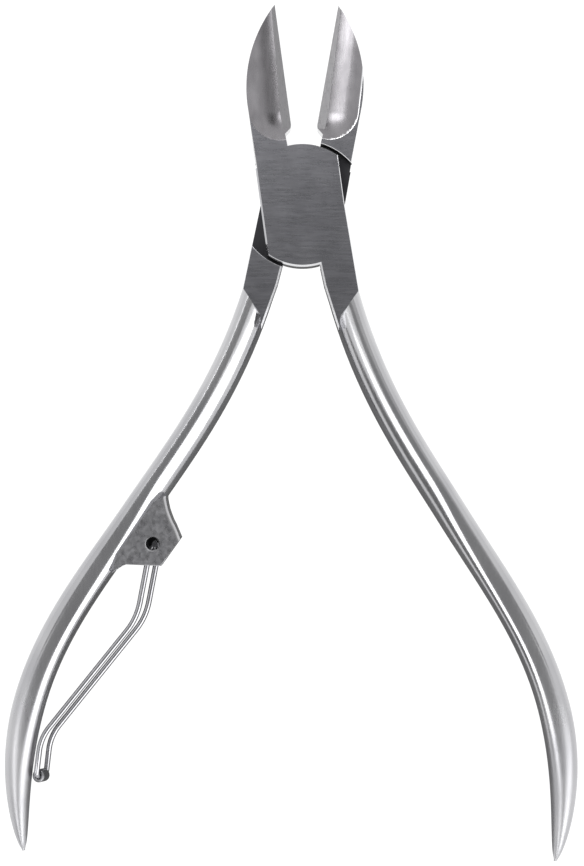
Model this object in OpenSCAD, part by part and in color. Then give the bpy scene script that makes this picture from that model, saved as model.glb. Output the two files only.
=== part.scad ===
// Lap-joint nail nipper with a folding wire spring, lying on its rear face, jaws towards +Y.
// Both halves share one forging, one turned over onto the other, and both jaws are then ground
// hollow on the front. Each half is drawn closed, with its jaw on the left, its lap plate above
// and its handle on the right, and then placed.
// All sizes are in millimetres.

/* [Overall] */
// Length of the jaws, from the pivot to the tips
jaw_l = 32.2; // [26:0.1:40]
// Length of the handles, from the pivot to their ends
handle_l = 108; // [88:0.5:132]
// Thickness of the joint and the jaws
body_t = 6; // [4.8:0.1:7.4]
// Angle between the two halves as they stand open
open_angle = 17.8; // [12:0.1:24]

/* [Joint] */
// Width of the lap joint
joint_w = 13.1; // [12:0.1:16]
// Radius of the round ends of each lap plate
lap_r = 9.65; // [8.2:0.05:10.4]
// Gap between a lap plate and the shoulder that it turns past
lap_gap = 0.5; // [0.3:0.05:0.8]
// Gap between the sliding faces of the two lap plates
face_gap = 0.1; // [0.06:0.02:0.2]
// Diameter of the pivot rivet
rivet_d = 4; // [3:0.1:5]
// How far the rivet's countersunk heads widen beyond its shank, on the radius
head_step = 0.53; // [0.3:0.01:0.8]
// Depth of each countersunk head
head_h = 0.7; // [0.4:0.05:1]
// Gap all round the rivet in the half that turns on it
rivet_gap = 0.05; // [0.02:0.01:0.1]

/* [Jaws] */
// Width of each jaw
jaw_w = 6.4; // [5.4:0.1:7.6]
// Radius of the curved outer side of each jaw
jaw_belly_r = 22; // [20:0.5:30]
// Gap left between the two cutting edges when the jaws are shut
edge_gap = 0.1; // [0.06:0.02:0.2]
// Height above the pivot at which the cutting edges start
edge_from = 13.1; // [12.4:0.1:15]
// How far the throat is cut into each jaw below its cutting edge
throat_w = 1.2; // [0.8:0.05:1.8]
// Radius of the hollow ground into the front of each jaw
hollow_r = 7.5; // [6.5:0.1:9]
// Half the width of the hollow where it meets the front face
hollow_half_w = 4.9; // [4:0.1:5.4]
// Slope of the narrow bevel along each cutting edge, in degrees
bevel_slope = 22; // [15:1:30]
// Width of that bevel at the throat
bevel_w = 1.5; // [1:0.1:2]
// Thickness of the steel at the cutting edge
edge_t = 0.35; // [0.2:0.05:0.8]
// Thickness of the jaw at its tip
tip_t = 2.2; // [1.8:0.1:3]

/* [Handles] */
// Width of each handle
handle_w = 5.1; // [4.2:0.1:6.2]
// How far each handle bows outwards from its shank
bow_spread = 25; // [20:0.5:30]
// Length of the flat shank below the pivot, along its outer side
flat_l = 14.4; // [12.5:0.1:18]
// Extra length of that flat along its inner side
flat_slant = 4.2; // [2:0.1:6]
// Thickness of each handle near its end
end_t = 3.8; // [3:0.1:4.6]

/* [Spring lug] */
// Distance from the pivot down to the lug, as a share of the handles' length
lug_share = 0.5046; // [0.46:0.0002:0.56]
// How far the lug's holes stand inwards from the middle of the handle
hole_out = 4.85; // [4.4:0.05:5.4]
// Diameter of the hole in each ear of the lug
hole_d = 2.1; // [1.7:0.05:2.6]
// Thickness of each ear
ear_t = 0.85; // [0.6:0.05:1.1]

/* [Spring] */
// Diameter of the spring wire
wire_d = 0.9; // [0.7:0.02:1.1]
// Distance from the spring's hinge to the middle of its roller, as a share of the handles' length
spring_share = 0.3792; // [0.34:0.0002:0.4]
// Height of the first bend above the line from hinge to roller
near_bend = 3.2; // [2:0.1:4]
// Depth of the second bend below that line
far_bend = 2.05; // [1:0.05:2.4]
// Half the distance between the two legs, seen from the front, across that line
splay_out = 0.57; // [0.2:0.01:0.7]
// Half the distance between the two legs, seen from the front, along that line
splay_along = 0.26; // [0:0.01:0.4]
// Outer diameter of the roller
roller_d = 2.05; // [1.7:0.05:2.6]
// Gap all round the wire in the roller's bore
roller_gap = 0.05; // [0.02:0.01:0.1]
// Gap left between the folded roller and its own handle
rest_gap = 0.12; // [0.05:0.01:0.5]

/* [Hidden] */
$fn = 96;
far = 200;
cutter_l = 60;

// Lap joint: the handle's centre line starts just below the lap plate
pocket_r = lap_r + lap_gap;
shank_y = lap_r + 0.35;
shank_flare = 0.45;
handle_sink = 2.6;
slant_shares = [0.85, 1.4];
slant_side = 0.28;

// Jaw outline: the belly is an arc that starts upright and meets the edge line at the tip
belly_y = jaw_l - sqrt(pow(jaw_belly_r, 2) - pow(jaw_belly_r - jaw_w, 2));
throat_y = edge_from - 1.5;
throat_lip = [-0.25, edge_from - 0.7];
neck_x = -0.9 * throat_w;
neck_y = 0.7 * lap_r;
belly_steps = 20;

// Hollow: a round-ended cutter whose middle runs up the jaw beside the cutting edge
hollow_rise = sqrt(pow(hollow_r, 2) - pow(hollow_half_w, 2));
hollow_depth = hollow_r - hollow_rise;
hollow_at = [-bevel_w, edge_from + 2.4];
hollow_turn = -3;
bevel_start = edge_from - hollow_at[1] - 0.6;
back_edge_z = body_t / 2 - hollow_depth - bevel_w * tan(bevel_slope) - edge_t;
back_slope = atan((back_edge_z + body_t / 2) / (0.8 * jaw_w));
taper_slope = atan((body_t - hollow_depth - tip_t) / (jaw_l - edge_from));

// Handle centre line: two joined curves, as shares of the bow's spread and the handle's length
bow_shape = [[0, 0], [0.07, 0.195], [0.32, 0.31], [0.522, 0.425],
    [0.816, 0.593], [1.216, 0.745], [0.868, 1]];
bow_points = [for (p = bow_shape)
    [joint_w / 2 - handle_w / 2 + p[0] * bow_spread, -shank_y - p[1] * (handle_l - shank_y)]];
handle_t = body_t - 0.1;
taper_y = 0.78 * handle_l;
thin_y = 0.62 * handle_l;
handle_sides = 20;
section_power = 2.3;

function mix(a, b, k) = a + (b - a) * k;
function unit(v) = v / norm(v);
function inward(v) = [v[1], -v[0]];
function curve(p, k) =
    pow(1 - k, 3) * p[0] + 3 * pow(1 - k, 2) * k * p[1] + 3 * (1 - k) * k * k * p[2] + pow(k, 3) * p[3];
function slope(p, k) = unit(
    pow(1 - k, 2) * (p[1] - p[0]) + 2 * (1 - k) * k * (p[2] - p[1]) + k * k * (p[3] - p[2]));
function upper_bow() = [for (i = [0:3]) bow_points[i]];
function lower_bow() = [for (i = [3:6]) bow_points[i]];

// Point and direction of the centre line at u, from 0 at the shank to 2 at the end
function handle_at(u) = u <= 1 ? curve(upper_bow(), u) : curve(lower_bow(), u - 1);
function handle_dir(u) = u <= 1 ? slope(upper_bow(), u) : slope(lower_bow(), u - 1);

// Width and thickness of the handle at height y
function past(y, from) = max(0, min(0.985, (-y - from) / (handle_l - from)));
function width_at(y) = handle_w * pow(1 - pow(past(y, taper_y), 2), 0.58);
function thick_at(y) =
    mix(handle_t, end_t, pow(past(y, thin_y), 1.5)) * pow(1 - pow(past(y, taper_y), 6), 0.5);

// The u at which the centre line passes height y
function find_y(y, low = 0, high = 2, steps = 30) =
    let (mid = (low + high) / 2)
    steps == 0 ? mid
    : handle_at(mid)[1] > y ? find_y(y, mid, high, steps - 1)
    : find_y(y, low, mid, steps - 1);

// Lug: its hole stands square off the centre line, and its outline is set out from the foot of
// that line, down the handle and then outwards
lug_u = find_y(-lug_share * handle_l);
lug_foot = handle_at(lug_u);
lug_dir = handle_dir(lug_u);
slot_w = body_t - 2 * ear_t;
slot_floor = hole_out - 1.45;
slot_top = -2.3;
pin_sag = 0.3;
lug_shape = [
    [-5.4, 1.6], [-7.6, 2.35], [-6.5, 3.3], [-5.4, 4.6], [-4.5, 6.1], [-3.3, hole_out + 3.15],
    [2.1, hole_out + 3.1], [5.05, 3.3], [6.1, 2.85], [7.4, 2.4], [4.6, 1.6]];
function lug_point(along, out) = lug_foot + along * lug_dir + out * inward(lug_dir);
hole_c = lug_point(0, hole_out);
pin_c = lug_point(-pin_sag / 2, hole_out + pin_sag);

// Folded spring: its roller lies against the handle, spring_l away from its hinge
spring_l = spring_share * handle_l;
function roller_rest(u) =
    let (p = handle_at(u))
    p + (width_at(p[1]) / 2 + roller_d / 2 + splay_out / 2 + rest_gap) * inward(handle_dir(u));
function find_roller(low, high, steps = 30) =
    let (mid = (low + high) / 2)
    steps == 0 ? mid
    : norm(roller_rest(mid) - pin_c) < spring_l ? find_roller(mid, high, steps - 1)
    : find_roller(low, mid, steps - 1);
roller_c = roller_rest(find_roller(lug_u, 1.98));
spring_dir = unit(roller_c - pin_c);
slot_play = 0.1;
leg_z = slot_w / 2 - slot_play - wire_d / 2;
roller_l = 2 * leg_z - wire_d - 0.2;
pin_l = leg_z + wire_d / 2 + slot_play + ear_t - 0.25;
near_share = 0.282;
far_share = 0.859;
kink_l = 1.6;
bend_r = [0.7, 0.8, 10, 7.5, 0.75];
bar_grow = 0.01;
wire_sides = 12;
bend_steps = 6;

// A point of the spring's outline, along and above the line from hinge to roller
function spring_point(along, out) = pin_c + along * spring_dir + out * inward(spring_dir);
function raised(p, z) = [p[0], p[1], z];

// Corners of the wire from a pin's end down one leg, where side is 1 for the leg that is nearer
// the handle, which is the front one
function leg_corners(side) =
    let (z = -side * leg_z, near_slope = near_bend / (near_share * spring_l))
    [raised(pin_c, -side * pin_l),
        raised(pin_c, z),
        raised(spring_point(kink_l + side * splay_along, kink_l * near_slope - side * splay_out), z),
        raised(spring_point(near_share * spring_l + side * splay_along, near_bend - side * splay_out), z),
        raised(spring_point(far_share * spring_l + side * splay_along, -far_bend - side * splay_out), z),
        raised(spring_point(spring_l + side * splay_along, -side * splay_out), z)];
wire_corners = concat(leg_corners(1), [for (i = [5:-1:0]) leg_corners(-1)[i]]);
wire_bends = concat(bend_r, [for (i = [4:-1:0]) bend_r[i]]);

// The corner p of a path from a to b, rounded to the radius r
function rounded(a, p, b, r) =
    let (
        to_a = unit(a - p),
        to_b = unit(b - p),
        half = acos(to_a * to_b) / 2,
        middle = p + unit(to_a + to_b) * r / sin(half),
        start = p + to_a * r / tan(half) - middle)
    [for (i = [0:bend_steps])
        let (turn = (180 - 2 * half) * i / bend_steps)
        middle + start * cos(turn) - to_a * r * sin(turn)];
wire_path = let (c = wire_corners, last = len(wire_corners) - 1)
    [c[0], for (i = [1:last - 1]) each rounded(c[i - 1], c[i], c[i + 1], wire_bends[i - 1]), c[last]];

// Direction of the wire at step i of its path, and one side vector carried along without twist
function wire_dir(i) = unit(
    wire_path[min(i + 1, len(wire_path) - 1)] - wire_path[max(i - 1, 0)]);
function carried(side, i = 0) =
    i == len(wire_path) ? []
    : let (t = wire_dir(i), n = unit(side - (side * t) * t))
    concat([n], carried(n, i + 1));

// Sweeps rings of points into one closed solid
module swept(rings) {
    sides = len(rings[0]);
    last = len(rings) - 1;
    polyhedron(
        points = [for (ring = rings) each ring],
        faces = [
            [for (i = [sides - 1:-1:0]) i],
            for (r = [0:last - 1], i = [0:sides - 1])
                let (j = (i + 1) % sides)
                [r * sides + i, r * sides + j, (r + 1) * sides + j, (r + 1) * sides + i],
            [for (i = [0:sides - 1]) last * sides + i]],
        convexity = 6);
}

// One cross-section of the handle, a rounded oval square to the centre line
function handle_ring(u) =
    let (p = handle_at(u), side = inward(handle_dir(u)), w = width_at(p[1]) / 2, t = thick_at(p[1]) / 2)
    [for (i = [0:handle_sides - 1])
        let (
            a = 360 * i / handle_sides,
            across = w * sign(cos(a)) * pow(abs(cos(a)), 2 / section_power),
            up = t * sign(sin(a)) * pow(abs(sin(a)), 2 / section_power))
        [p[0] + side[0] * across, p[1] + side[1] * across, up]];

module handle() {
    start = find_y(-shank_y - handle_sink);
    upper = [for (i = [0:11]) mix(start, 1, i / 12)];
    lower = [for (i = [0:26]) 1 + sin(90 * i / 26)];
    swept([for (u = concat(upper, lower)) handle_ring(u)]);
}

// Outline of the jaw, closed: its belly is an arc, and the throat is cut in below its edge
module jaw_outline() {
    belly_turn = acos((jaw_belly_r - jaw_w) / jaw_belly_r);
    belly_c = [jaw_belly_r - jaw_w, belly_y];
    edge_x = -edge_gap / 2;
    polygon(concat(
        [for (i = [0:belly_steps])
            let (a = 180 - belly_turn * i / belly_steps)
            belly_c + jaw_belly_r * [cos(a), sin(a)] + [edge_x, 0]],
        [[edge_x, edge_from], throat_lip, [-throat_w, throat_y],
            [neck_x, lap_r], [neck_x, 0], [-joint_w / 2, 0], [-joint_w / 2, neck_y]]));
}

// Outline of the flat shank, ending on a slant where the rounded handle takes over
module shank_outline() {
    inner = handle_w / 2;
    mid_y = -flat_l - slant_shares[0] * flat_slant;
    end_y = -flat_l - slant_shares[1] * flat_slant;
    polygon([
        [joint_w / 2, 0],
        [joint_w / 2 + shank_flare, -flat_l],
        [handle_at(find_y(mid_y))[0] - slant_side * handle_w, mid_y],
        [handle_at(find_y(end_y))[0] - 0.98 * inner, end_y],
        [handle_at(0)[0] - inner, -shank_y],
        [handle_at(0)[0] - inner, 0]]);
}

module lap_plate() {
    linear_extrude(height = body_t / 2 - face_gap / 2)
        intersection() {
            circle(r = lap_r, $fn = 180);
            square([joint_w, 2 * lap_r], center = true);
        }
}

// Everything ground off the jaw: hollow, edge bevel, back bevel and taper to the tip
module jaw_grinds() {
    // hollow in the front, with a ball end towards the joint
    translate([hollow_at[0], hollow_at[1], body_t / 2 + hollow_rise])
        rotate([-90, 0, hollow_turn])
            rotate_extrude()
                intersection() {
                    union() {
                        circle(r = hollow_r);
                        translate([-hollow_r, 0]) square([2 * hollow_r, cutter_l]);
                    }
                    translate([0, -hollow_r]) square([2 * hollow_r, 2 * cutter_l]);
                }
    // bevel along the cutting edge, falling away from the hollow
    translate([hollow_at[0], hollow_at[1], body_t / 2 - hollow_depth])
        rotate([0, 0, hollow_turn])
            rotate([0, bevel_slope, 0])
                translate([0, bevel_start, 0])
                    cube([jaw_w, cutter_l, jaw_w]);
    // back of the jaw, sloping up to a thin cutting edge
    translate([0, edge_from, back_edge_z])
        rotate([0, -back_slope, 0])
            translate([-cutter_l / 2, 0, -cutter_l])
                cube(cutter_l);
    // taper of the back towards the tip
    translate([0, edge_from, -body_t / 2])
        rotate([taper_slope, 0, 0])
            translate([-cutter_l / 2, 0, -cutter_l])
                cube(cutter_l);
}

// Rivet, or the hole for it, widened by gap all round
module rivet_shape(gap) {
    cylinder(d = rivet_d + 2 * gap, h = body_t, center = true);
    for (end = [0, 180])
        rotate([end, 0, 0])
            translate([0, 0, body_t / 2 - head_h])
                cylinder(r1 = rivet_d / 2 + gap, r2 = rivet_d / 2 + head_step + gap, h = head_h);
}

// One half as it is forged and ground, closed, middle of its thickness at z = 0. The jaw's hollow
// faces up where hollow_side is 1 and down where it is -1.
module half_blank(bore_gap, hollow_side) {
    difference() {
        union() {
            lap_plate_top();
            difference() {
                union() {
                    difference() {
                        linear_extrude(height = body_t, center = true) jaw_outline();
                        scale([1, 1, hollow_side]) jaw_grinds();
                    }
                    linear_extrude(height = body_t, center = true) shank_outline();
                }
                translate([0, 0, -far + face_gap / 2])
                    cylinder(r = pocket_r, h = far, $fn = 180);
            }
            handle();
        }
        rivet_shape(bore_gap);
    }
}

module lap_plate_top() {
    translate([0, 0, face_gap / 2]) lap_plate();
}

// Forked lug on the inner side of the rear handle, with a slot between its two ears
module lug() {
    linear_extrude(height = body_t, center = true)
        polygon([for (p = lug_shape) lug_point(p[0], p[1])]);
}

module lug_cuts() {
    translate([lug_foot[0], lug_foot[1], 0])
        rotate([0, 0, atan2(lug_dir[1], lug_dir[0])])
            translate([slot_top, -slot_floor - far, -slot_w / 2])
                cube([far, far, slot_w]);
    translate([hole_c[0], hole_c[1], 0])
        cylinder(d = hole_d, h = 2 * body_t, center = true);
}

module place_front() {
    translate([0, 0, body_t / 2]) rotate([0, 0, open_angle / 2]) children();
}

module place_rear() {
    translate([0, 0, body_t / 2]) rotate([0, 0, -open_angle / 2]) rotate([0, 180, 0]) children();
}

module front_half() {
    color("silver") place_front() half_blank(rivet_gap, 1);
}

module rear_half() {
    color("silver")
        place_rear()
            union() {
                half_blank(0, -1);
                difference() {
                    lug();
                    lug_cuts();
                }
            }
}

module pivot_rivet() {
    color("gainsboro") place_rear() rivet_shape(0);
}

// Turns a piece that stands along z onto the line of the wire's cross-bar
module on_cross_bar() {
    bar = wire_corners[5] - wire_corners[6];
    translate([roller_c[0], roller_c[1], 0])
        rotate([0, acos(bar[2] / norm(bar)), atan2(bar[1], bar[0])])
            children();
}

// The wire is one sweep from pin to pin, with true round journals on its pins and cross-bar
module bow_spring() {
    sides = carried([1, 0, 0]);
    bar_l = norm(wire_corners[5] - wire_corners[6]) - 2 * bend_r[4];
    journal_d = wire_d + 2 * bar_grow;
    color("lightgray")
        place_rear() {
            swept([for (k = [0:len(wire_path) - 1])
                let (up = cross(wire_dir(k), sides[k]))
                [for (i = [0:wire_sides - 1])
                    let (a = -360 * i / wire_sides)
                    wire_path[k] + wire_d / 2 * (cos(a) * sides[k] + sin(a) * up)]]);
            for (end = [-1, 1])
                translate([pin_c[0], pin_c[1], end * (leg_z + bend_r[0] + pin_l) / 2])
                    cylinder(d = journal_d, h = pin_l - leg_z - bend_r[0], center = true, $fn = 48);
            on_cross_bar()
                cylinder(d = journal_d, h = bar_l, center = true, $fn = 48);
        }
}

module spring_roller() {
    color("darkgray")
        place_rear()
            on_cross_bar()
                difference() {
                    cylinder(d = roller_d, h = roller_l, center = true, $fn = 64);
                    cylinder(d = wire_d + 2 * roller_gap, h = 2 * roller_l, center = true, $fn = 48);
                }
}

front_half();
rear_half();
pivot_rivet();
bow_spring();
spring_roller();
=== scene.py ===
"""Looks of a lap-joint nail nipper in stainless steel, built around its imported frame."""

import math

import bmesh
import bpy
from mathutils import Matrix, Vector


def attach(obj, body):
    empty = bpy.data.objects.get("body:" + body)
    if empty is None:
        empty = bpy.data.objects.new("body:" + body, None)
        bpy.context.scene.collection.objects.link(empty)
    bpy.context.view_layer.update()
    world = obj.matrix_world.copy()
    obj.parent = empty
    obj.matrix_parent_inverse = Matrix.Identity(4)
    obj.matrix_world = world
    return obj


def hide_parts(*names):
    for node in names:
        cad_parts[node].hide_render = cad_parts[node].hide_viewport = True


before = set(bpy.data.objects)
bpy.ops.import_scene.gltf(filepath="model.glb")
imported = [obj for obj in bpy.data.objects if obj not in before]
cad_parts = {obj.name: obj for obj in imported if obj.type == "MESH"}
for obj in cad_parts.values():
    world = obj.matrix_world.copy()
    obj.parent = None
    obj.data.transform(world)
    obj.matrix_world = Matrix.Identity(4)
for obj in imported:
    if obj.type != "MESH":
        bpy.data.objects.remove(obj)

bl_info = {
    "name": "Nail nipper",
    "version": (1, 0, 0),
    "blender": (4, 5, 0),
    "location": "3D View > Sidebar > Nipper",
    "description": "Models a lap-joint nail nipper, its folding wire spring and a light table",
    "category": "Object",
}

MM = 0.001
MID_Z = 3.0  # mm, the middle of the steel's thickness above the rear face
HALF_T = 3.0  # mm
OPEN_DEG = 17.8

# Lap joint and jaws, in mm, with the tool shut
LAP_R = 9.65
POCKET_R = 10.15
FACE_GAP = 0.05
SIDE_X = 6.55
EDGE_X = -0.05
EDGE_FROM = 13.1
JAW_TIP = 32.2
JAW_W = 6.4
BELLY_R = 22.0
HOLLOW_AT = (-1.5, 15.5)
HOLLOW_R = 7.5
HOLLOW_TURN = math.radians(-3)
BEVEL_TURN = math.radians(22)
RIM_R = 12.0
RIM_W = 0.06
CUTTER = 60.0

# Handle centre line: two joined curves, in mm, with the tool shut
BOW = [
    Vector((4.0, -10.0)),
    Vector((5.75, -29.11)),
    Vector((12.0, -40.38)),
    Vector((17.05, -51.65)),
    Vector((24.4, -68.114)),
    Vector((34.4, -83.01)),
    Vector((25.7, -108.0)),
]
HANDLE_L = 108.0
HANDLE_W = 5.1
HANDLE_T = 5.9
END_T = 3.8
TAPER_Y = 0.78 * HANDLE_L
THIN_Y = 0.62 * HANDLE_L

# Spring, in mm, where it lies folded
PIN = Vector((-22.198, -53.7441))
ROLLER = Vector((-39.5737, -90.8289))
WIRE_R = 0.45
LEG_Z = 1.6
PIN_Z = 2.75
SPLAY = (0.26, 0.57)
BENDS = (0.7, 0.8, 10.0, 7.5, 0.75)


# ---------------------------------------------------------------- helpers


def srgb(code):
    """An sRGB hex colour as the linear colour that a shader takes."""
    parts = [int(code[i : i + 2], 16) / 255 for i in (1, 3, 5)]
    return (*[p / 12.92 if p <= 0.04045 else ((p + 0.055) / 1.055) ** 2.4 for p in parts], 1)


def add_node(tree, kind, links=(), **settings):
    """Adds one node; settings name its properties or inputs, and links feed its inputs."""
    node = tree.nodes.new(kind)
    for key, value in settings.items():
        if key in node.inputs:
            node.inputs[key].default_value = value
        else:
            setattr(node, key, value)
    for socket, source in dict(links).items():
        tree.links.new(source, node.inputs[socket])
    return node


def only(piece):
    """Makes piece the one selected and active object."""
    bpy.ops.object.select_all(action="DESELECT")
    piece.select_set(True)
    bpy.context.view_layer.objects.active = piece


def added(name):
    """Names the object that an operator has just added."""
    piece = bpy.context.active_object
    piece.name = piece.data.name = name
    return piece


def edit(piece):
    only(piece)
    bpy.ops.object.mode_set(mode="EDIT")
    return bmesh.from_edit_mesh(piece.data)


def pick(piece, test):
    """Selects only the faces of piece, in edit mode, that pass the test."""
    bpy.ops.mesh.select_mode(type="FACE")
    bpy.ops.mesh.select_all(action="DESELECT")
    cage = bmesh.from_edit_mesh(piece.data)
    for face in cage.faces:
        face.select = test(face)
    bmesh.update_edit_mesh(piece.data)


def place(piece, matrix):
    """Moves piece by matrix and works its place into its mesh."""
    piece.matrix_world = matrix @ piece.matrix_world
    only(piece)
    bpy.ops.object.transform_apply(location=True, rotation=True, scale=True)


def apply(piece, kind, **settings):
    """Adds one modifier to piece and applies it."""
    only(piece)
    modifier = piece.modifiers.new(kind.title(), kind)
    for key, value in settings.items():
        setattr(modifier, key, value)
    bpy.ops.object.modifier_apply(modifier=modifier.name)


def carve(piece, tool, operation="DIFFERENCE"):
    """Cuts tool out of piece, or joins it on, and removes the tool."""
    apply(piece, "BOOLEAN", object=tool, operation=operation, solver="EXACT")
    bpy.data.objects.remove(tool)
    if not piece.data.polygons:
        raise RuntimeError(f"{piece.name} was lost in a cut")


def open_edges(piece):
    """How many edges of piece don't join exactly two faces."""
    cage = bmesh.new()
    cage.from_mesh(piece.data)
    count = sum(1 for edge in cage.edges if not edge.is_manifold)
    cage.free()
    return count


def traced(name, outline, low, high):
    """A solid with the traced outline between two heights, in mm."""
    bpy.ops.object.select_all(action="DESELECT")
    bpy.ops.mesh.primitive_plane_add(size=2 * MM)
    piece = added(name)
    edit(piece)
    bpy.ops.mesh.select_all(action="SELECT")
    bpy.ops.mesh.merge(type="CENTER")
    bpy.ops.mesh.select_mode(type="VERT")
    bpy.ops.mesh.select_all(action="SELECT")
    first = outline[0]
    bpy.ops.transform.translate(value=(first[0] * MM, first[1] * MM, low * MM))
    for a, b in zip(outline, outline[1:]):
        step = ((b[0] - a[0]) * MM, (b[1] - a[1]) * MM, 0)
        bpy.ops.mesh.extrude_vertices_move(TRANSFORM_OT_translate={"value": step})
    bpy.ops.mesh.select_all(action="SELECT")
    bpy.ops.mesh.edge_face_add()
    bpy.ops.mesh.extrude_region_move(
        TRANSFORM_OT_translate={"value": (0, 0, (high - low) * MM)}
    )
    bpy.ops.mesh.select_all(action="SELECT")
    bpy.ops.mesh.normals_make_consistent(inside=False)
    bpy.ops.object.mode_set(mode="OBJECT")
    return piece


def broken_edges(piece, width, share, segments=1, clamp=False):
    """Chamfers the outline's edges by width in mm times the share that each edge's middle gets."""
    weights = piece.data.attributes.new("bevel_weight_edge", "FLOAT", "EDGE")
    for edge in piece.data.edges:
        a, b = (piece.data.vertices[v].co / MM for v in edge.vertices)
        flat = abs(a.z - b.z) < 0.01
        weights.data[edge.index].value = share((a + b) / 2) if flat else 0
    apply(
        piece, "BEVEL", limit_method="WEIGHT", width=width * MM, segments=segments,
        offset_type="OFFSET", use_clamp_overlap=clamp,
    )


def swept(name, rings, closed_ends=True):
    """A tube through rings of points in mm, each ring extruded from the one before."""
    bpy.ops.object.select_all(action="DESELECT")
    bpy.ops.mesh.primitive_circle_add(vertices=len(rings[0]), radius=1)
    piece = added(name)
    cage = edit(piece)
    bpy.ops.mesh.select_mode(type="VERT")
    order = list(range(len(rings[0])))
    cage.verts.ensure_lookup_table()
    for i in order:
        cage.verts[i].co = rings[0][i] * MM
    for ring in rings[1:]:
        bpy.ops.mesh.extrude_region_move()
        cage = bmesh.from_edit_mesh(piece.data)
        fresh = [v for v in cage.verts if v.select]
        for vertex, point in zip(fresh, ring):
            vertex.co = point * MM
    if closed_ends:
        bpy.ops.mesh.edge_face_add()
        bpy.ops.mesh.select_all(action="DESELECT")
        cage = bmesh.from_edit_mesh(piece.data)
        cage.verts.ensure_lookup_table()
        for i in order:
            cage.verts[i].select = True
        cage.select_flush(True)
        bpy.ops.mesh.edge_face_add()
    bpy.ops.mesh.select_all(action="SELECT")
    bpy.ops.mesh.normals_make_consistent(inside=False)
    bpy.ops.object.mode_set(mode="OBJECT")
    return piece


def smooth(piece, degrees=30):
    """Rounds the shading over shallow angles and keeps large flats flat."""
    only(piece)
    bpy.ops.object.shade_smooth_by_angle(angle=math.radians(degrees))
    apply(piece, "WEIGHTED_NORMAL", keep_sharp=True, weight=100)


def turned(x=0.0, y=0.0, z=0.0):
    return Matrix.Rotation(z, 4, "Z") @ Matrix.Rotation(y, 4, "Y") @ Matrix.Rotation(x, 4, "X")


# ---------------------------------------------------------------- handle shape


def curve(p, k):
    return (1 - k) ** 3 * p[0] + 3 * (1 - k) ** 2 * k * p[1] + 3 * (1 - k) * k * k * p[2] + k**3 * p[3]


def slope(p, k):
    return (
        (1 - k) ** 2 * (p[1] - p[0]) + 2 * (1 - k) * k * (p[2] - p[1]) + k * k * (p[3] - p[2])
    ).normalized()


def handle_at(u):
    return curve(BOW[:4], u) if u <= 1 else curve(BOW[3:], u - 1)


def handle_dir(u):
    return slope(BOW[:4], u) if u <= 1 else slope(BOW[3:], u - 1)


def find_y(y):
    low, high = 0.0, 2.0
    for _ in range(40):
        mid = (low + high) / 2
        low, high = (mid, high) if handle_at(mid).y > y else (low, mid)
    return low


def inward(v):
    return Vector((v.y, -v.x))


def past(y, start):
    return max(0.0, min(0.99, (-y - start) / (HANDLE_L - start)))


def width_at(y):
    return HANDLE_W * (1 - past(y, TAPER_Y) ** 2) ** 0.58


def thick_at(y):
    thin = HANDLE_T + (END_T - HANDLE_T) * past(y, THIN_Y) ** 1.5
    return thin * (1 - past(y, TAPER_Y) ** 6) ** 0.5


def ease(x, a, b):
    t = max(0.0, min(1.0, (x - a) / (b - a)))
    return t * t * (3 - 2 * t)


def handle_ring(u, sides):
    """One cross-section. Its crown leans outwards near the joint and flattens lower down."""
    p, side = handle_at(u), inward(handle_dir(u))
    w, t = width_at(p.y) / 2, thick_at(p.y) / 2
    lean = 0.32 * (1 - ease(u, 0.8, 1.35))
    power = 2.0 + 0.7 * ease(u, 0.8, 1.3) * (1 - ease(u, 1.6, 1.9))
    ring = []
    for i in range(sides):
        a = 2 * math.pi * i / sides
        c, s = math.cos(a), math.sin(a)
        across = w * (math.copysign(abs(c) ** (2 / power), c) - lean * s * s)
        up = t * math.copysign(abs(s) ** (2 / power), s)
        ring.append(Vector((p.x + side.x * across, p.y + side.y * across, up)))
    return ring


def handle(name):
    start = find_y(-12.6)
    upper = [start + (1 - start) * i / 22 for i in range(22)]
    lower = [1 + math.sin(math.pi / 2 * i / 46) for i in range(47)]
    return swept(name, [handle_ring(u, 48) for u in upper + lower])


# ---------------------------------------------------------------- blank, jaws and joint


def arc(centre, radius, start, end, steps):
    return [
        (
            centre[0] + radius * math.cos(start + (end - start) * i / steps),
            centre[1] + radius * math.sin(start + (end - start) * i / steps),
        )
        for i in range(steps + 1)
    ]


def blank_outline():
    """Outline of one half's flat part: jaw, lap plate and shank."""
    belly_turn = math.acos((BELLY_R - JAW_W) / BELLY_R)
    belly_y = JAW_TIP - math.sqrt(BELLY_R**2 - (BELLY_R - JAW_W) ** 2)
    belly = arc((BELLY_R - JAW_W + EDGE_X, belly_y), BELLY_R, math.pi, math.pi - belly_turn, 40)
    throat = [(EDGE_X, EDGE_FROM), (-0.25, 12.4), (-1.2, 11.6)]
    top = arc((0, 0), LAP_R, math.acos(-1.08 / LAP_R), math.acos(SIDE_X / LAP_R), 24)
    flank = [(SIDE_X, 0.0), (SIDE_X + 0.45, -14.4)]
    mid_y, end_y = -14.4 - 0.85 * 4.2, -14.4 - 1.4 * 4.2
    slant = [
        (handle_at(find_y(mid_y)).x - 0.28 * HANDLE_W, mid_y),
        (handle_at(find_y(end_y)).x - 0.49 * HANDLE_W, end_y),
        (handle_at(find_y(-13.0)).x - 0.51 * HANDLE_W, -13.0),
    ]
    inner_x = BOW[0].x - HANDLE_W / 2
    low = arc((0, 0), LAP_R, -math.acos(inner_x / LAP_R), -math.acos(-SIDE_X / LAP_R), 24)
    return [(-SIDE_X, 6.755)] + belly + throat + top + flank + slant + low


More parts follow.
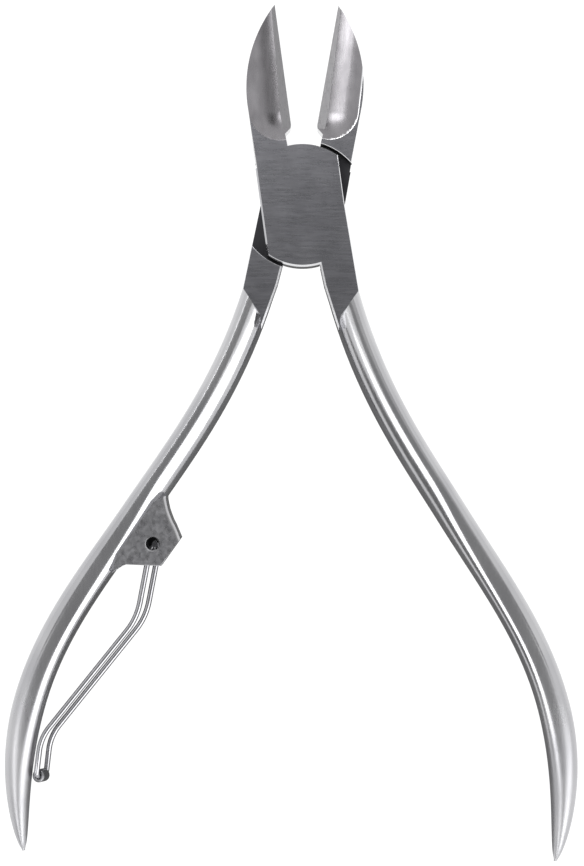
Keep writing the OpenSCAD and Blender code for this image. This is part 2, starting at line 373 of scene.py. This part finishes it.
def edge_share(spot):
    """How wide the chamfer is at a spot on the blank's outline, as a share of the widest."""
    radius = math.hypot(spot.x, spot.y)
    if spot.y < -14.3:
        # the slant that runs out into the handle is left sharp, so that its point stays clean
        return 1.0 if spot.x < handle_at(find_y(spot.y)).x - 0.45 * HANDLE_W else 0
    if spot.y < -9.6 and spot.x < 4.6:
        return 1.0
    if abs(radius - LAP_R) < 0.1 and spot.y < 0:
        return 1.0
    if spot.x < -6.5 and spot.y < 0:
        return 0.9
    # the jaws stay sharp, and near-parallel edges can't have two widths
    return 0 if spot.y > LAP_R - 0.65 else 0.35


def disc(name, radius, low, high, top_radius=None, at=(0, 0), segments=128):
    """A round cutter, straight or tapering, between two heights, in mm."""
    bpy.ops.object.select_all(action="DESELECT")
    bpy.ops.mesh.primitive_cone_add(
        vertices=segments,
        radius1=radius * MM,
        radius2=(radius if top_radius is None else top_radius) * MM,
        depth=(high - low) * MM,
        location=(at[0] * MM, at[1] * MM, (low + high) / 2 * MM),
    )
    piece = added(name)
    place(piece, Matrix.Identity(4))
    return piece


def slab(name, matrix, size):
    """A box cutter with one corner at the origin, of the given size in mm, placed by matrix."""
    bpy.ops.object.select_all(action="DESELECT")
    bpy.ops.mesh.primitive_cube_add(size=1)
    piece = added(name)
    corner = Matrix.Translation(Vector(size) * MM / 2)
    place(piece, corner @ Matrix.Diagonal([abs(s) * MM for s in size] + [1]))
    place(piece, matrix)
    return piece


def shift(x, y, z):
    return Matrix.Translation(Vector((x, y, z)) * MM)


def wheel(side, radius, half_width):
    """The grinding wheel's path: round at the joint end and straight up the jaw."""
    bpy.ops.object.select_all(action="DESELECT")
    bpy.ops.mesh.primitive_uv_sphere_add(segments=144, ring_count=72, radius=radius * MM)
    piece = added("wheel_path")
    edit(piece)
    pick(piece, lambda face: face.calc_center_median().z > 0)
    bpy.ops.mesh.extrude_region_move(TRANSFORM_OT_translate={"value": (0, 0, 40 * MM)})
    bpy.ops.object.mode_set(mode="OBJECT")
    centre = shift(*HOLLOW_AT, side * (HALF_T + math.sqrt(radius**2 - half_width**2)))
    place(piece, centre @ turned(x=-math.pi / 2, z=HOLLOW_TURN))
    return piece


def grind_jaw(half, side, half_width):
    """Grinds the hollow, its rounded rim, the edge bevel and the back of the jaw."""
    carve(half, wheel(side, HOLLOW_R, half_width))
    carve(half, wheel(side, RIM_R, half_width + RIM_W))
    depth = HOLLOW_R - math.sqrt(HOLLOW_R**2 - 4.9**2)
    carve(
        half,
        slab(
            "edge_wheel",
            shift(*HOLLOW_AT, side * (HALF_T - depth))
            @ turned(z=HOLLOW_TURN)
            @ turned(y=side * BEVEL_TURN)
            @ shift(0, -3.0, 0),
            (JAW_W, CUTTER, side * JAW_W),
        ),
    )
    back_z = HALF_T - depth - 1.5 * math.tan(BEVEL_TURN) - 0.35
    back_turn = math.atan((back_z + HALF_T) / (0.8 * JAW_W))
    taper_turn = math.atan((2 * HALF_T - depth - 2.2) / (JAW_TIP - EDGE_FROM))
    for z, turn in ((back_z, turned(y=-side * back_turn)), (-HALF_T, turned(x=side * taper_turn))):
        carve(
            half,
            slab(
                "back_wheel",
                shift(0, EDGE_FROM, side * z) @ turn @ shift(-CUTTER / 2, 0, 0),
                (CUTTER, CUTTER, -side * CUTTER),
            ),
        )


def bore(half):
    """The countersunk hole for the rivet, through the lap plate."""
    carve(half, disc("drill", 2.005, -1, 4, segments=96))
    carve(half, disc("countersink", 1.778, 2.0, 3.3, 2.762, segments=96))


def half_forging(name, side, half_width):
    """One half, drawn shut, with its hollow facing up where side is 1 and down where it is -1."""
    half = traced(name, blank_outline(), -HALF_T, HALF_T)
    broken_edges(half, 0.3, edge_share)
    carve(half, disc("lap_cutter", POCKET_R, -8, FACE_GAP, segments=180))
    carve(half, disc("lap_rim", POCKET_R + 0.5, -3.4, -2.6, POCKET_R - 0.3, segments=176))
    bore(half)
    grind_jaw(half, side, half_width)
    carve(half, handle("handle"), "UNION")
    reach = [v.co.y / MM for v in half.data.vertices]
    if max(reach) < JAW_TIP - 1 or min(reach) > -HANDLE_L + 1:
        raise RuntimeError(f"{name} lost its jaw or its handle")
    if open_edges(half):
        raise RuntimeError(f"{name} has {open_edges(half)} open edges")
    return half


# ---------------------------------------------------------------- lug

LUG_U = find_y(-0.5046 * HANDLE_L)
LUG_FOOT = handle_at(LUG_U)
LUG_DIR = handle_dir(LUG_U)
HOLE_OUT = 4.85
LUG_SHAPE = [
    (4.6, 1.2), (-5.4, 1.2), (-7.6, 2.3), (-7.0, 2.75), (-6.5, 3.25), (-5.95, 3.85), (-5.4, 4.6),
    (-4.9, 5.35), (-4.5, 6.1), (-3.9, 7.05), (-3.3, 8.0), (2.1, 7.95), (5.05, 3.3), (5.5, 3.0),
    (6.1, 2.75), (6.8, 2.5), (7.4, 2.3),
]


def lug_point(along, out):
    return LUG_FOOT + along * LUG_DIR + out * inward(LUG_DIR)


def flank_share(spot):
    """The lug's upper flank is rounded and polished, its other sides are only deburred."""
    local = Vector((spot.x, spot.y)) - LUG_FOOT
    along, out = local.dot(LUG_DIR), local.dot(inward(LUG_DIR))
    if out < 2.0:
        return 0
    return 1.0 if along < -3.4 else 0.12


def lug():
    piece = traced("lug", [lug_point(*p) for p in LUG_SHAPE], -HALF_T, HALF_T)
    broken_edges(piece, 0.75, flank_share, segments=5, clamp=True)
    turn = Matrix.Rotation(math.atan2(LUG_DIR.y, LUG_DIR.x), 4, "Z")
    foot = shift(LUG_FOOT.x, LUG_FOOT.y, 0)
    slot = slab("slot_cutter", foot @ turn @ shift(-2.3, -3.4, -2.15), (40, -40, 4.3))
    carve(piece, slot)
    hole = lug_point(0, HOLE_OUT)
    carve(piece, disc("hole_drill", 1.05, -4, 4, at=hole, segments=64))
    for face in (-1, 1):
        rim = sorted((face * 3.1, face * 2.86))
        radii = (1.05, 1.29) if face > 0 else (1.29, 1.05)
        carve(piece, disc("hole_rim", radii[0], *rim, radii[1], at=hole, segments=64))
    return piece


# ---------------------------------------------------------------- wire spring


def corner(a, p, b, radius, steps):
    """Points of the corner p of a path from a to b, rounded to the radius."""
    to_a, to_b = (a - p).normalized(), (b - p).normalized()
    half = math.acos(max(-1, min(1, to_a.dot(to_b)))) / 2
    middle = p + (to_a + to_b).normalized() * radius / math.sin(half)
    start = p + to_a * radius / math.tan(half) - middle
    return [
        middle
        + start * math.cos((math.pi - 2 * half) * i / steps)
        - to_a * radius * math.sin((math.pi - 2 * half) * i / steps)
        for i in range(steps + 1)
    ]


def wire_path():
    along = (ROLLER - PIN).normalized()
    out = Vector((-along.y, along.x))
    length = (ROLLER - PIN).length
    shape = [(1.6, 3.2 * 1.6 / (0.282 * length)), (0.282 * length, 3.2), (0.859 * length, -2.05), (length, 0)]
    legs = []
    for side in (1, -1):
        z = MID_Z + side * LEG_Z
        leg = [Vector((*PIN, MID_Z + side * PIN_Z)), Vector((*PIN, z))]
        for a, o in shape:
            leg.append(Vector((*(PIN + (a + side * SPLAY[0]) * along + (o - side * SPLAY[1]) * out), z)))
        legs.append(leg)
    corners = legs[0] + legs[1][::-1]
    radii = BENDS + BENDS[::-1]
    path = [corners[0]]
    for i in range(1, len(corners) - 1):
        steps = 5 if radii[i - 1] < 1 else 10
        path += corner(corners[i - 1], corners[i], corners[i + 1], radii[i - 1], steps)
    return path + [corners[-1]], corners


def round_rings(path, radius, sides):
    """Rings of a round wire along a path, carried along it without twist."""
    rings = []
    side = Vector((1, 0, 0))
    last = len(path) - 1
    for i, p in enumerate(path):
        way = (path[min(i + 1, last)] - path[max(i - 1, 0)]).normalized()
        side = (side - side.dot(way) * way).normalized()
        up = way.cross(side)
        ring = [
            p + radius * (math.cos(2 * math.pi * k / sides) * side + math.sin(2 * math.pi * k / sides) * up)
            for k in range(sides)
        ]
        rings.append(ring)
    return rings


# ---------------------------------------------------------------- finishes


def base_finish(name, colour, metallic, roughness, anisotropy=0.0):
    material = bpy.data.materials.new(name)
    material.use_nodes = True
    tree = material.node_tree
    shader = tree.nodes["Principled BSDF"]
    shader.inputs["Base Color"].default_value = colour
    shader.inputs["Metallic"].default_value = metallic
    shader.inputs["Roughness"].default_value = roughness
    shader.inputs["Anisotropic"].default_value = anisotropy
    return material, tree, shader


def grain(tree, scale, stretch, detail=3.0, turn=0.0, distortion=0.0):
    """Noise in the piece's own coordinates, stretched along one direction; scale is per mm."""
    place_in = add_node(tree, "ShaderNodeTexCoord").outputs["Object"]
    mapped = add_node(
        tree, "ShaderNodeMapping", {"Vector": place_in}, Rotation=(0, 0, turn), Scale=stretch
    )
    return add_node(
        tree, "ShaderNodeTexNoise", {"Vector": mapped.outputs["Vector"]},
        Scale=scale / MM, Detail=detail, Roughness=0.6, Distortion=distortion,
    ).outputs["Fac"]


def spread(tree, value, low, high, to_low, to_high):
    return add_node(
        tree, "ShaderNodeMapRange", {"Value": value},
        **{"From Min": low, "From Max": high, "To Min": to_low, "To Max": to_high},
    ).outputs["Result"]


def tint(tree, value, dark, light):
    """A colour between two, by a value from 0 to 1."""
    mix = add_node(tree, "ShaderNodeMix", data_type="RGBA")
    mix.inputs[6].default_value = dark
    mix.inputs[7].default_value = light
    tree.links.new(value, mix.inputs[0])
    return mix.outputs[2]


def raised(tree, shader, height, strength, distance):
    bump = add_node(
        tree, "ShaderNodeBump", {"Height": height}, Strength=strength, Distance=distance * MM
    )
    tree.links.new(bump.outputs["Normal"], shader.inputs["Normal"])


def ground_steel():
    """Surface-ground stainless steel of the joint: the belt leaves fine straight scratches across
    the tool, so it looks darker than the polished handles and faintly streaked."""
    finish = bpy.context.scene.nipper_finish
    material, tree, shader = base_finish("surface_ground_steel", srgb("#7c7c7f"), 1.0, 0.3)
    streaks = grain(tree, 4.0, (0.09, 1.0, 0.4), detail=5)
    patches = grain(tree, 0.25, (1.0, 1.0, 1.0), detail=3)
    both = add_node(tree, "ShaderNodeMath", {0: streaks, 1: patches}, operation="ADD").outputs[0]
    mixed = spread(tree, both, 0.65, 1.35, 0, 1)
    dark, light = (*finish.ground_dark, 1), (*finish.ground_light, 1)
    tree.links.new(tint(tree, mixed, dark, light), shader.inputs["Base Color"])
    tree.links.new(spread(tree, streaks, 0.3, 0.7, 0.26, 0.31), shader.inputs["Roughness"])
    # real scratches are about 0.02 mm apart; they are drawn 0.3 mm apart so that they show
    raised(tree, shader, streaks, 0.04, 0.01)
    return material


def polished_steel():
    """Satin-polished stainless steel of the handles: mopped along their length after belt
    grinding, so it mirrors softly with a faint lengthwise grain."""
    finish = bpy.context.scene.nipper_finish
    material, tree, shader = base_finish("satin_polished_steel", srgb("#bdbdbf"), 1.0, 0.16)
    fine = grain(tree, 3.0, (1.0, 0.12, 1.0), detail=3)
    cloud = grain(tree, 0.12, (1.0, 0.5, 1.0), detail=2)
    light, dark = (*finish.polished, 1), srgb("#b3b3b6")
    tree.links.new(tint(tree, spread(tree, cloud, 0.35, 0.65, 0, 1), dark, light), shader.inputs["Base Color"])
    place_in = add_node(tree, "ShaderNodeTexCoord").outputs["Object"]
    along = add_node(tree, "ShaderNodeSeparateXYZ", {0: place_in}).outputs["Y"]
    matt = spread(tree, along, -0.07, -0.092, 0.0, 0.26)
    base = spread(tree, fine, 0.3, 0.7, 0.13, 0.19)
    total = add_node(tree, "ShaderNodeMath", {0: base, 1: matt}, operation="ADD").outputs[0]
    tree.links.new(total, shader.inputs["Roughness"])
    raised(tree, shader, fine, 0.12, 0.004)
    return material


def edge_steel():
    """Bright edges: the chamfers and the rim of the hollow are buffed, so they catch the light."""
    material, tree, shader = base_finish("buffed_edge_steel", srgb("#e6e6e8"), 1.0, 0.12)
    fine = grain(tree, 3.0, (1.0, 1.0, 1.0), detail=2)
    tree.links.new(tint(tree, fine, srgb("#dcdcde"), srgb("#f0f0f2")), shader.inputs["Base Color"])
    tree.links.new(spread(tree, fine, 0.3, 0.7, 0.1, 0.2), shader.inputs["Roughness"])
    return material


def painted_shade_steel():
    """Painted shadow: nearly black steel for the lap faces inside the joint, which lie in shade under the
    other half, and also for the inside of the lug's hole, the wire's ends and the dot under the lug.
    """
    material, tree, shader = base_finish("painted_shadow_steel", srgb("#343436"), 1.0, 0.45)
    marks = grain(tree, 1.2, (1.0, 0.3, 1.0), detail=3)
    tree.links.new(tint(tree, marks, srgb("#29292b"), srgb("#434346")), shader.inputs["Base Color"])
    tree.links.new(spread(tree, marks, 0.3, 0.7, 0.4, 0.55), shader.inputs["Roughness"])
    return material


def tumbled_steel():
    """Sides of the lug: tumbled but not ground, so they are cloudy and softly mottled."""
    material, tree, shader = base_finish("tumbled_steel", srgb("#9c9c9f"), 1.0, 0.3)
    cloud = grain(tree, 1.3, (1.0, 0.8, 1.0), detail=5, distortion=0.3)
    tree.links.new(
        tint(tree, spread(tree, cloud, 0.3, 0.7, 0, 1), srgb("#8a8a8d"), srgb("#9c9c9f")),
        shader.inputs["Base Color"],
    )
    tree.links.new(spread(tree, cloud, 0.3, 0.7, 0.24, 0.38), shader.inputs["Roughness"])
    raised(tree, shader, cloud, 0.04, 0.01)
    return material


def land_steel():
    """Stone-honed bevel behind each cutting edge: flat, even and a little lighter than the hollow."""
    material, tree, shader = base_finish("honed_edge_steel", srgb("#8d8c8e"), 1.0, 0.3)
    marks = grain(tree, 4.0, (1.0, 0.2, 1.0), detail=3, turn=0.6)
    tree.links.new(tint(tree, marks, srgb("#838284"), srgb("#989799")), shader.inputs["Base Color"])
    tree.links.new(spread(tree, marks, 0.3, 0.7, 0.26, 0.34), shader.inputs["Roughness"])
    return material


def hollow_steel():
    """Wheel-ground stainless steel of the jaws: the wheel runs up the hollow and leaves a finer,
    silkier surface than the joint's, with soft highlights."""
    material, tree, shader = base_finish("hollow_ground_steel", srgb("#89878a"), 1.0, 0.22)
    marks = grain(tree, 2.0, (1.0, 0.08, 1.0), detail=3)
    cloud = grain(tree, 0.35, (1.0, 0.6, 1.0), detail=2)
    tree.links.new(
        tint(tree, spread(tree, cloud, 0.35, 0.65, 0, 1), srgb("#828083"), srgb("#929093")),
        shader.inputs["Base Color"],
    )
    tree.links.new(spread(tree, marks, 0.3, 0.7, 0.24, 0.32), shader.inputs["Roughness"])
    raised(tree, shader, marks, 0.06, 0.005)
    return material


def wire_steel():
    """Bright-drawn spring wire: the die leaves it smooth and almost mirror-bright, with faint
    draw lines."""
    finish = bpy.context.scene.nipper_finish
    material, tree, shader = base_finish("bright_drawn_wire", srgb("#b0b0b3"), 1.0, 0.12)
    lines = grain(tree, 4.0, (1.0, 0.15, 1.0), detail=2)
    light = tuple(finish.wire) + (1,)
    tree.links.new(tint(tree, lines, srgb("#a2a2a5"), light), shader.inputs["Base Color"])
    tree.links.new(spread(tree, lines, 0.3, 0.7, 0.08, 0.18), shader.inputs["Roughness"])
    return material


def roller_steel():
    """Turned steel of the small roller: fine lathe rings, a little duller than the wire."""
    material, tree, shader = base_finish("turned_roller_steel", srgb("#8e8e91"), 1.0, 0.22)
    rings = grain(tree, 3.0, (0.2, 0.2, 2.0), detail=3)
    tree.links.new(tint(tree, rings, srgb("#77777a"), srgb("#a0a0a3")), shader.inputs["Base Color"])
    tree.links.new(spread(tree, rings, 0.3, 0.7, 0.16, 0.3), shader.inputs["Roughness"])
    raised(tree, shader, rings, 0.15, 0.005)
    return material


def light_table():
    """Backlit opal acrylic: diffuse, even and nearly white, so the tool throws almost no shadow."""
    material, tree, shader = base_finish("opal_light_table", srgb("#5c5c5c"), 0.0, 0.8)
    cloud = grain(tree, 0.02, (1.0, 1.0, 1.0), detail=1)
    tree.links.new(tint(tree, cloud, srgb("#585858"), srgb("#606060")), shader.inputs["Base Color"])
    shader.inputs["Specular IOR Level"].default_value = 0.0
    shader.inputs["Emission Color"].default_value = srgb("#ffffff")
    shader.inputs["Emission Strength"].default_value = 1.0
    return material


def finish_of(make):
    """The finish that a function makes, made once."""
    name = make.__name__
    stored = bpy.context.scene.get("made_" + name)
    if stored is None:
        stored = make().name
        bpy.context.scene["made_" + name] = stored
    return bpy.data.materials[stored]


def on_rim(spot, side, half_width):
    """Whether a spot lies on the rounded rim of the hollow."""
    wide = half_width + RIM_W
    centre = Vector((*HOLLOW_AT, side * (HALF_T + math.sqrt(RIM_R**2 - wide**2))))
    way = Vector((-math.sin(HOLLOW_TURN), math.cos(HOLLOW_TURN), 0))
    offset = spot - centre
    along = max(0.0, offset.dot(way))
    return abs((offset - along * way).length - RIM_R) < 0.02


def finish_at(spot, normal, side, half_width):
    """Which finish a face has, by its place and direction, with the tool shut."""
    up = abs(normal.z)
    level = up > 0.9995
    top = level and abs(abs(spot.z) - HALF_T) < 0.02
    radius = math.hypot(spot.x, spot.y)
    if spot.y < -30:
        if top:
            return tumbled_steel
        # painted shade: the inside of the lug's hole is made nearly black
        in_hole = (Vector((spot.x, spot.y)) - lug_point(0, HOLE_OUT)).length < 1.1
        return painted_shade_steel if in_hole else polished_steel
    # painted shadow: the lap faces and pocket walls in the joint's recess, shaded by the other half, are made
    # nearly black
    if level and abs(spot.z) < 0.1 or (POCKET_R - 0.1 < radius < POCKET_R + 0.3 and up < 0.1):
        return painted_shade_steel
    if abs(up - math.sqrt(0.5)) < 0.01 and abs(spot.z) > HALF_T - 0.45:
        return edge_steel
    if top:
        return ground_steel
    if spot.y > EDGE_FROM - 3.2 and spot.x < 0.1 and up > 0.05:
        if side * normal.z < 0:
            return hollow_steel
        if side < 0 and on_rim(spot, side, half_width):
            return edge_steel
        land = spot.x - HOLLOW_AT[0] + math.tan(HOLLOW_TURN) * (spot.y - HOLLOW_AT[1])
        return land_steel if land > 0 and abs(up - math.cos(BEVEL_TURN)) < 0.01 else hollow_steel
    return polished_steel


def dress_half(half, side, half_width):
    """Gives the flats, edges, jaw grinds and handle their own finishes, and paints nearly black shade on the
    lap faces and in the lug's hole.
    """
    finishes = (
        polished_steel, ground_steel, hollow_steel, edge_steel, painted_shade_steel, land_steel, tumbled_steel
    )
    half.data.materials.clear()
    for make in finishes:
        half.data.materials.append(finish_of(make))
    for face in half.data.polygons:
        make = finish_at(face.center / MM, face.normal, side, half_width)
        face.material_index = finishes.index(make)


# ---------------------------------------------------------------- add-on


class NipperFinish(bpy.types.PropertyGroup):
    ground_dark: bpy.props.FloatVectorProperty(
        name="Joint, dark streaks", description="Darker colour of the ground joint",
        subtype="COLOR", size=3, min=0, max=1, default=srgb("#69696d")[:3],
    )
    ground_light: bpy.props.FloatVectorProperty(
        name="Joint, light streaks", description="Lighter colour of the ground joint",
        subtype="COLOR", size=3, min=0, max=1, default=srgb("#7d7d81")[:3],
    )
    polished: bpy.props.FloatVectorProperty(
        name="Handles", description="Colour of the polished handles",
        subtype="COLOR", size=3, min=0, max=1, default=srgb("#c2c2c4")[:3],
    )
    wire: bpy.props.FloatVectorProperty(
        name="Wire", description="Colour of the spring wire",
        subtype="COLOR", size=3, min=0, max=1, default=srgb("#bcbcbf")[:3],
    )


class NipperStage(bpy.types.PropertyGroup):
    lens: bpy.props.FloatProperty(
        name="Lens", description="Focal length of the camera", default=110.0, min=35, max=300,
        subtype="DISTANCE_CAMERA",
    )
    view_height: bpy.props.FloatProperty(
        name="View height", description="Height of the area in view",
        default=866 * 0.158 * MM, min=0.05, max=1, subtype="DISTANCE", unit="LENGTH",
    )
    roll: bpy.props.FloatProperty(
        name="Roll", description="How far the camera is turned over the tool",
        default=math.radians(1.15), subtype="ANGLE",
    )
    table_size: bpy.props.FloatProperty(
        name="Light table", description="Width of the light table",
        default=1.6, min=0.3, max=6, subtype="DISTANCE", unit="LENGTH",
    )


class NIPPER_OT_front_half(bpy.types.Operator):
    """Forges and grinds the upper half, with the left jaw and the right handle"""

    bl_idname = "nipper.front_half"
    bl_label = "Front half"

    def execute(self, context):
        half = half_forging("front_forging", 1, 4.9)
        dress_half(half, 1, 4.9)
        smooth(half)
        place(half, shift(0, 0, MID_Z) @ turned(z=math.radians(OPEN_DEG / 2)))
        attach(half, "front_lever")
        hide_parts("front_half")
        return {"FINISHED"}


class NIPPER_OT_rear_half(bpy.types.Operator):
    """Forges and grinds the lower half, with the right jaw, the left handle and the lug"""

    bl_idname = "nipper.rear_half"
    bl_label = "Rear half"

    def execute(self, context):
        half = half_forging("rear_forging", -1, 4.62)
        carve(half, lug(), "UNION")
        dress_half(half, -1, 4.62)
        smooth(half)
        turn = turned(z=-math.radians(OPEN_DEG / 2)) @ turned(y=math.pi)
        place(half, shift(0, 0, MID_Z) @ turn)
        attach(half, "rear_lever")
        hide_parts("rear_half")
        return {"FINISHED"}


class NIPPER_OT_rivet(bpy.types.Operator):
    """Gives the flush pivot rivet the joint's ground finish"""

    bl_idname = "nipper.rivet"
    bl_label = "Rivet"

    def execute(self, context):
        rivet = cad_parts["pivot_rivet"]
        rivet.data.materials.clear()
        rivet.data.materials.append(finish_of(ground_steel))
        return {"FINISHED"}


class NIPPER_OT_spring(bpy.types.Operator):
    """Bends the wire spring, with its two legs, pins and cross-bar"""

    bl_idname = "nipper.spring"
    bl_label = "Wire spring"

    def execute(self, context):
        path, _ = wire_path()
        wire = swept("spring_wire", round_rings(path, WIRE_R, 24))
        apply(
            wire, "BEVEL", limit_method="ANGLE", angle_limit=math.radians(70), width=0.08 * MM, segments=2
        )
        wire.data.materials.clear()
        wire.data.materials.append(finish_of(wire_steel))
        wire.data.materials.append(finish_of(painted_shade_steel))
        # the ends of the wire get the nearly black painted-shade finish
        for face in wire.data.polygons:
            face.material_index = int(abs(face.center.z / MM - MID_Z) > PIN_Z - 0.1)
        smooth(wire, 40)
        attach(wire, "spring")
        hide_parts("bow_spring")
        return {"FINISHED"}


class NIPPER_OT_roller(bpy.types.Operator):
    """Turns the small roller that runs on the spring's cross-bar"""

    bl_idname = "nipper.roller"
    bl_label = "Roller"

    def execute(self, context):
        _, corners = wire_path()
        way = (corners[5] - corners[6]).normalized()
        centre = (corners[5] + corners[6]) / 2
        roller = disc("roller_sleeve", 1.025, -1.05, 1.05, segments=64)
        carve(roller, disc("roller_bore", 0.5, -2, 2, segments=48))
        apply(
            roller, "BEVEL", limit_method="ANGLE", angle_limit=math.radians(60), width=0.14 * MM, segments=3
        )
        roller.data.materials.clear()
        roller.data.materials.append(finish_of(roller_steel))
        smooth(roller, 40)
        place(roller, shift(*centre) @ way.to_track_quat("Z", "Y").to_matrix().to_4x4())
        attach(roller, "roller")
        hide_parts("spring_roller")
        return {"FINISHED"}


class NIPPER_OT_stage(bpy.types.Operator):
    """Sets the light table, the dark card, the softboxes and the camera"""

    bl_idname = "nipper.stage"
    bl_label = "Stage"

    def execute(self, context):
        scene = context.scene
        stage = scene.nipper_stage
        bpy.ops.object.select_all(action="DESELECT")
        bpy.ops.mesh.primitive_plane_add(size=stage.table_size)
        table = added("light_table")
        table.data.materials.append(finish_of(light_table))

        world = bpy.data.worlds.new("white_tent")
        scene.world = world
        world.use_nodes = True
        sky = world.node_tree.nodes["Background"]
        sky.inputs["Color"].default_value = srgb("#ffffff")
        sky.inputs["Strength"].default_value = 1.0

        self.card("dark_card", (0, 0.28), (1.2, 0.66), 1.0, 0.3)
        self.card("tongue_card", (0, -0.45), (0.66, 0.8), 1.0, 0.3)
        self.card("corner_card", (-1.9, -1.8), (2.2, 2.2), 1.0, 0.15)
        self.card("jaw_flag", (0.09, 0.2), (0.15, 0.2), 0.3, 0.03)
        self.card("jaw_fill", (0.11, 0.045), (0.2, 0.1), 0.3, 0.6)
        self.softbox("right_softbox", (1.26, -0.98), (1.86, 1.4), 1.0, 2.2)
        self.softbox("left_softbox", (-0.62, -0.98), (0.58, 1.4), 1.0, 2.2)
        self.softbox("jaw_light", (-0.1, 0.13), (0.2, 0.12), 0.3, 5.0)
        self.flag()
        self.dot()

        distance = stage.lens / 36 * stage.view_height
        roll = stage.roll
        across = Vector((math.cos(roll), math.sin(roll), 0))
        up = Vector((-math.sin(roll), math.cos(roll), 0))
        aim = across * -1.659 * MM + up * -35.8 * MM
        bpy.ops.object.camera_add(
            location=(aim.x, aim.y, 4 * MM + distance), rotation=(0, 0, roll)
        )
        camera = bpy.context.active_object
        camera.name = "camera"
        camera.data.sensor_width = 36
        camera.data.lens = stage.lens
        camera.data.clip_start, camera.data.clip_end = 0.01, 20
        scene.camera = camera
        scene.view_settings.view_transform = "Standard"
        return {"FINISHED"}

    def card(self, name, at, size, height, glow):
        """A paper card over the tool, which the camera doesn't see."""
        bpy.ops.object.select_all(action="DESELECT")
        bpy.ops.mesh.primitive_plane_add(size=1, location=(*at, height))
        card = added(name)
        card.scale = (*size, 1)
        material, tree, shader = base_finish(name + "_paper", srgb("#202020"), 0.0, 0.9)
        shader.inputs["Emission Color"].default_value = srgb("#ffffff")
        shader.inputs["Emission Strength"].default_value = glow
        card.data.materials.append(material)
        card.visible_camera = False
        card.visible_shadow = False

    def flag(self):
        """A black flag on the table between the handles, which darkens their inner flanks."""
        side = [turned(z=math.radians(OPEN_DEG / 2)) @ handle_at(u / 4).to_3d() for u in range(9)]
        outline = [(p.x, p.y) for p in side] + [(-p.x, p.y) for p in side[::-1]]
        flag = traced("black_flag", outline, 0.05, 0.1)
        material, tree, shader = base_finish("black_felt", srgb("#5a5a5a"), 0.0, 1.0)
        shader.inputs["Emission Color"].default_value = srgb("#ffffff")
        shader.inputs["Emission Strength"].default_value = 0.08
        flag.data.materials.append(material)
        flag.visible_camera = False
        flag.visible_shadow = False
        flag.visible_diffuse = False

    def dot(self):
        """Painted shade: a black dot on the table under the lug, so that its hole looks dark against the
        table.
        """
        hole = turned(z=-math.radians(OPEN_DEG / 2)) @ turned(y=math.pi) @ lug_point(0, HOLE_OUT).to_3d()
        dot = disc("painted_shade_dot", 1.25, 0.01, 0.03, at=(hole.x, hole.y), segments=32)
        dot.data.materials.append(finish_of(painted_shade_steel))

    def softbox(self, name, at, size, height, glow):
        bpy.ops.object.light_add(type="AREA", location=(*at, height))
        box = bpy.context.active_object
        box.name = name
        box.data.shape = "RECTANGLE"
        box.data.size, box.data.size_y = size
        box.data.energy = glow * size[0] * size[1] * math.pi
        box.visible_camera = False


class NIPPER_PT_parts(bpy.types.Panel):
    """Lists the nipper's sizes, colours and pieces"""

    bl_idname = "NIPPER_PT_parts"
    bl_label = "Nail nipper"
    bl_space_type = "VIEW_3D"
    bl_region_type = "UI"
    bl_category = "Nipper"

    def draw(self, context):
        for group in (context.scene.nipper_finish, context.scene.nipper_stage):
            for name in group.__annotations__:
                self.layout.prop(group, name)
        for operator in OPERATORS:
            self.layout.operator(operator.bl_idname)


OPERATORS = (
    NIPPER_OT_front_half,
    NIPPER_OT_rear_half,
    NIPPER_OT_rivet,
    NIPPER_OT_spring,
    NIPPER_OT_roller,
    NIPPER_OT_stage,
)
GROUPS = (NipperFinish, NipperStage)


def register():
    for kind in (*GROUPS, *OPERATORS, NIPPER_PT_parts):
        bpy.utils.register_class(kind)
    bpy.types.Scene.nipper_finish = bpy.props.PointerProperty(type=NipperFinish)
    bpy.types.Scene.nipper_stage = bpy.props.PointerProperty(type=NipperStage)


def unregister():
    del bpy.types.Scene.nipper_stage
    del bpy.types.Scene.nipper_finish
    for kind in (NIPPER_PT_parts, *OPERATORS[::-1], *GROUPS[::-1]):
        bpy.utils.unregister_class(kind)


def main():
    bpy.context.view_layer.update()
    register()
    bpy.ops.nipper.front_half()
    bpy.ops.nipper.rear_half()
    bpy.ops.nipper.rivet()
    bpy.ops.nipper.spring()
    bpy.ops.nipper.roller()
    bpy.ops.nipper.stage()
    bpy.context.view_layer.update()


if __name__ == "__main__":
    main()
